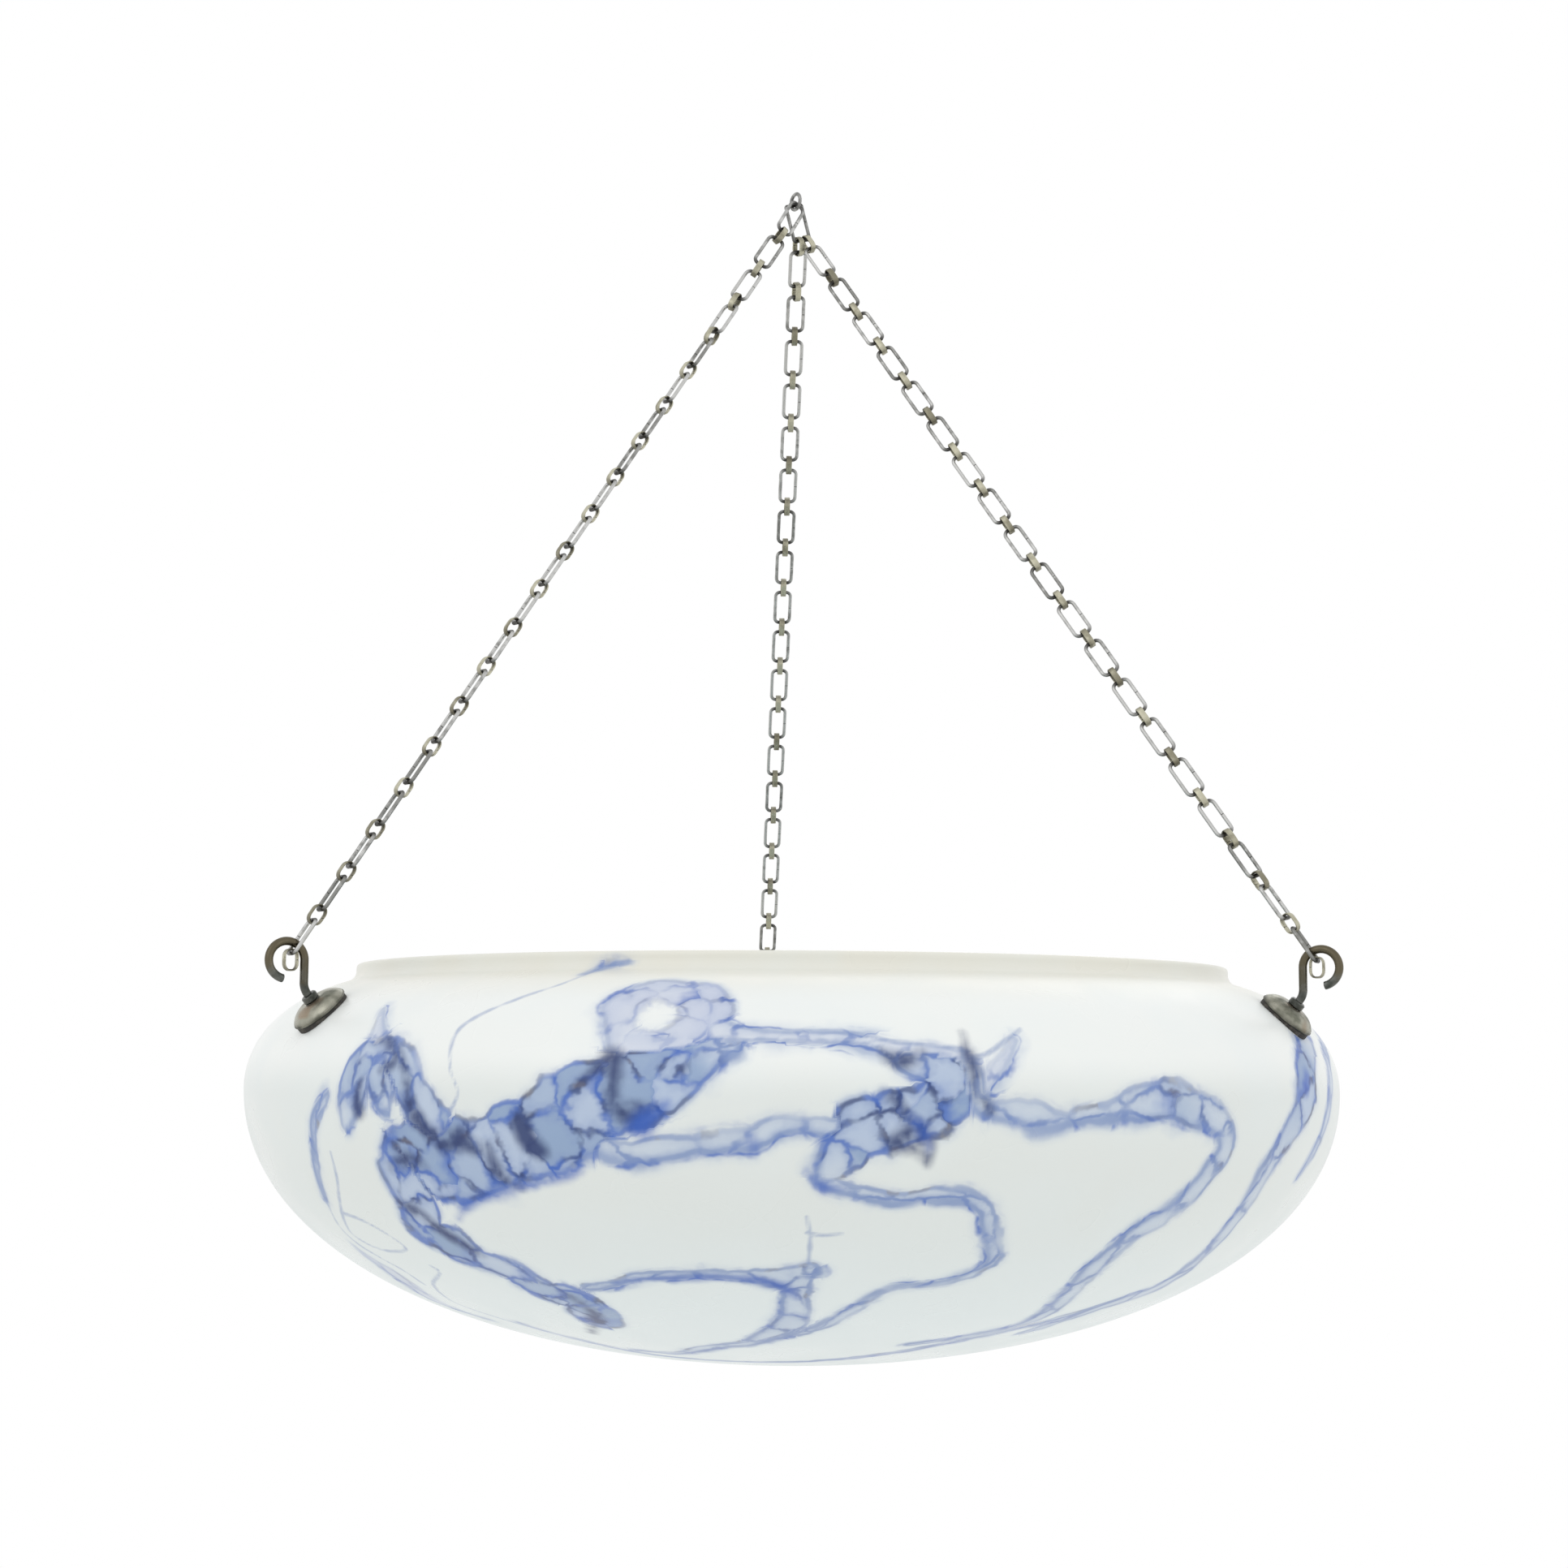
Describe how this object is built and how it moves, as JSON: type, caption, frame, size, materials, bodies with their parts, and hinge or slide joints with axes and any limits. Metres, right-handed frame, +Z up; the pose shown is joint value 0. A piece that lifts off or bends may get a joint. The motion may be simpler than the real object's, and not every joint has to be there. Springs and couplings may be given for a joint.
{
  "type": "pendant ceiling light",
  "caption": "Marbled opal glass bowl with an inturned shoulder, hung open side up by hooks on three chains that gather at one ring.",
  "frame": {"origin": "inside top of the suspension ring, where a ceiling hook bears", "axes": "+Z up, +Y towards the back chain, +X to the right as the picture is seen"},
  "size_m": [0.406, 0.4147, 0.4506],
  "materials": {
    "opal_glass": "polished opal with blue marbling",
    "plated_steel": "aged nickel plate",
    "aged_strip": "aged nickel plate, worn warm",
    "dark_bronze": "dark bronzed",
    "plate_metal": "aged, satin",
    "pad": "matt",
    "plain_steel": "plain"
  },
  "bodies": {
    "suspension_ring": {"suspension_ring": "plated_steel"},
    "top_links": {"left_top_link": "plated_steel", "joining_link": "plated_steel"},
    "lamp": {"glass_bowl": "opal_glass", "left_long_links": "plated_steel", "left_short_links": "aged_strip", "left_hook_link": "plated_steel", "left_hook": "dark_bronze", "left_plate": "plate_metal", "left_outer_pad": "pad", "left_inner_pad": "pad", "left_washer": "plain_steel", "left_nut": "plain_steel", "back_long_links": "plated_steel", "back_short_links": "aged_strip", "back_hook_link": "plated_steel", "back_hook": "dark_bronze", "back_plate": "plate_metal", "back_outer_pad": "pad", "back_inner_pad": "pad", "back_washer": "plain_steel", "back_nut": "plain_steel", "right_long_links": "plated_steel", "right_short_links": "aged_strip", "right_hook_link": "plated_steel", "right_hook": "dark_bronze", "right_plate": "plate_metal", "right_outer_pad": "pad", "right_inner_pad": "pad", "right_washer": "plain_steel", "right_nut": "plain_steel"},
    "left_loose_link": {"left_loose_link": "aged_strip"},
    "back_loose_link": {"back_loose_link": "aged_strip"},
    "right_loose_link": {"right_loose_link": "aged_strip"}
  },
  "joints": [
    {"name": "ring_swing", "type": "hinge", "parent": "suspension_ring", "child": "top_links", "pos_m": [0, 0, -0.00538], "axis": [0.5, -0.866, 0], "range_deg": [-12, 12]},
    {"name": "link_swing", "type": "hinge", "parent": "top_links", "child": "lamp", "pos_m": [-0.00521, -0.00399, -0.01594], "axis": [0.7656, 0.6311, -0.1247], "range_deg": [-12, 12]},
    {"name": "left_loose_swing", "type": "hinge", "parent": "lamp", "child": "left_loose_link", "pos_m": [-0.1754, -0.10126, -0.30393], "axis": [-0.5, 0.866, 0], "range_deg": [-5, 45]},
    {"name": "back_loose_swing", "type": "hinge", "parent": "lamp", "child": "back_loose_link", "pos_m": [0, 0.20253, -0.30393], "axis": [1, 0, 0], "range_deg": [-5, 45]},
    {"name": "right_loose_swing", "type": "hinge", "parent": "lamp", "child": "right_loose_link", "pos_m": [0.1754, -0.10126, -0.30393], "axis": [-0.5, -0.866, 0], "range_deg": [-5, 45]}
  ]
}
